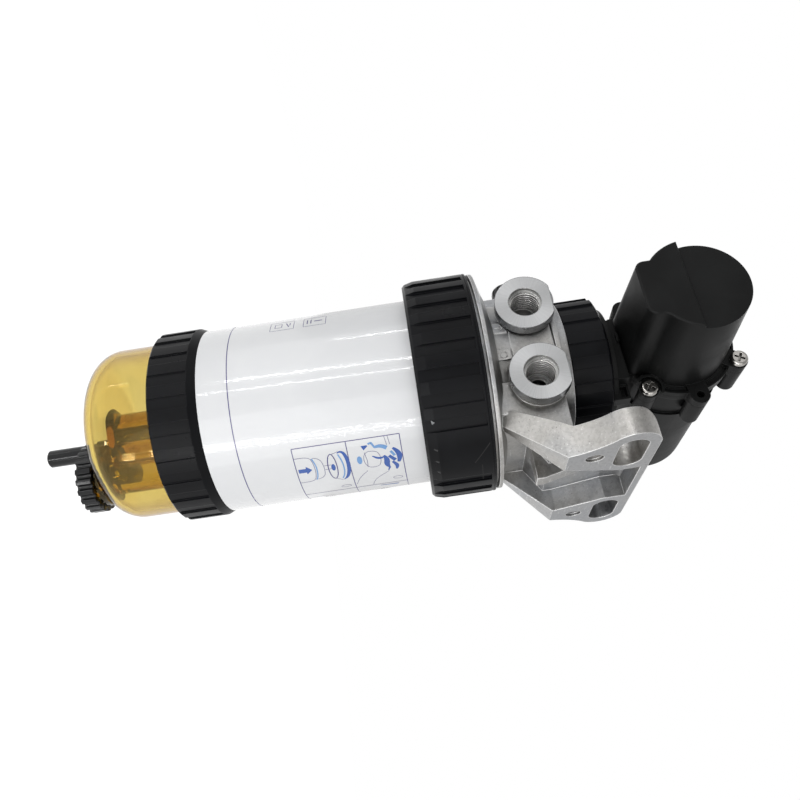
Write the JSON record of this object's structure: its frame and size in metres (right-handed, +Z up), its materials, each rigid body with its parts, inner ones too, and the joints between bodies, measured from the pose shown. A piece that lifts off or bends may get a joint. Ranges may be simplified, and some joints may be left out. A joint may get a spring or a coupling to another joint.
{
  "type": "fuel filter and lift pump",
  "caption": "Engine fuel filter with screw-off element and clear water bowl, die-cast head with ports and wall bracket, and an electric lift pump on top.",
  "frame": {"origin": "on the filter axis, in the plane of the head flange's lower face, where the element and its lock collar seat", "axes": "+Z up along the filter axis, the bowl down and the pump up; the fuel ports face -Y; the bracket pads face +X; the pump motor lies along Y"},
  "size_m": [0.1089, 0.143, 0.3203],
  "materials": {
    "head_casting": "sand textured die casting with machined port faces",
    "can_paint": "gloss white enamel",
    "black_plastic": "satin black moulding",
    "pump_plastic": "fine-grained charcoal moulding",
    "amber_bowl": "clear amber moulding",
    "rubber": "black rubber",
    "bright_steel": "bright nickel plate",
    "brass": "plain brass",
    "paper": "resin treated paper",
    "copper": "enamelled copper wire",
    "magnet": "dark sintered magnet",
    "tin_plate": "tinned sheet steel"
  },
  "bodies": {
    "head": {"filter_head": "head_casting", "standpipe": "tin_plate", "inlet_seat": "brass", "valve_spring": "bright_steel", "canister_shell": "can_paint", "head_seal": "rubber", "element_top_cap": "tin_plate", "element_grommet": "rubber", "filter_media": "paper", "centre_tube": "tin_plate", "element_base_cap": "black_plastic", "bowl_seal": "rubber", "bowl": "amber_bowl", "bleed_seal": "rubber", "pump_insert": "black_plastic", "pump_seal": "rubber", "pump_housing": "pump_plastic", "pump_cover": "pump_plastic", "cover_gasket": "rubber", "cover_screws": "bright_steel", "connector_pins": "brass", "motor_can": "tin_plate", "motor_bearing": "brass", "motor_magnets": "magnet", "brush_plate": "black_plastic", "brushes": "magnet", "pump_body": "head_casting", "pump_bearing": "brass", "pump_end_plate": "head_casting", "strainer": "black_plastic"},
    "lock_ring": {"lock_collar": "black_plastic"},
    "bowl_ring": {"bowl_collar": "black_plastic"},
    "drain": {"drain_knob": "black_plastic", "drain_seal": "rubber"},
    "pump_nut": {"pump_ring_nut": "black_plastic"},
    "bleed": {"bleed_screw": "black_plastic"},
    "valve": {"check_valve": "brass"},
    "rotor": {"motor_shaft": "bright_steel", "armature_core": "tin_plate", "armature_windings": "copper", "commutator": "copper", "impeller": "black_plastic"}
  },
  "joints": [
    {"name": "lock_collar_turn", "type": "hinge", "parent": "head", "child": "lock_ring", "pos_m": [0, 0, -0.016], "axis": [0, 0, -1], "range_deg": [0, 60]},
    {"name": "bowl_collar_turn", "type": "hinge", "parent": "head", "child": "bowl_ring", "pos_m": [0, 0, -0.131], "axis": [0, 0, -1], "range_deg": [0, 90]},
    {"name": "drain_turn", "type": "hinge", "parent": "head", "child": "drain", "pos_m": [0.02, 0, -0.181], "axis": [0, 0, -1], "range_deg": [0, 90]},
    {"name": "pump_nut_turn", "type": "hinge", "parent": "head", "child": "pump_nut", "pos_m": [0, 0, 0.045], "axis": [0, 0, 1], "range_deg": [0, 90]},
    {"name": "bleed_turn", "type": "hinge", "parent": "head", "child": "bleed", "pos_m": [-0.042, -0.0024, 0.02], "axis": [-1, 0, 0], "range_deg": [0, 180]},
    {"name": "valve_lift", "type": "slide", "parent": "head", "child": "valve", "axis": [0, 0, 1], "range_m": [0, 0.003], "stiffness_N_per_m": 60, "springref_m": -0.002, "deforming": ["valve_spring"]},
    {"name": "rotor_spin", "type": "hinge", "parent": "head", "child": "rotor", "pos_m": [0, 0, 0.088], "axis": [0, 1, 0], "continuous": true}
  ]
}
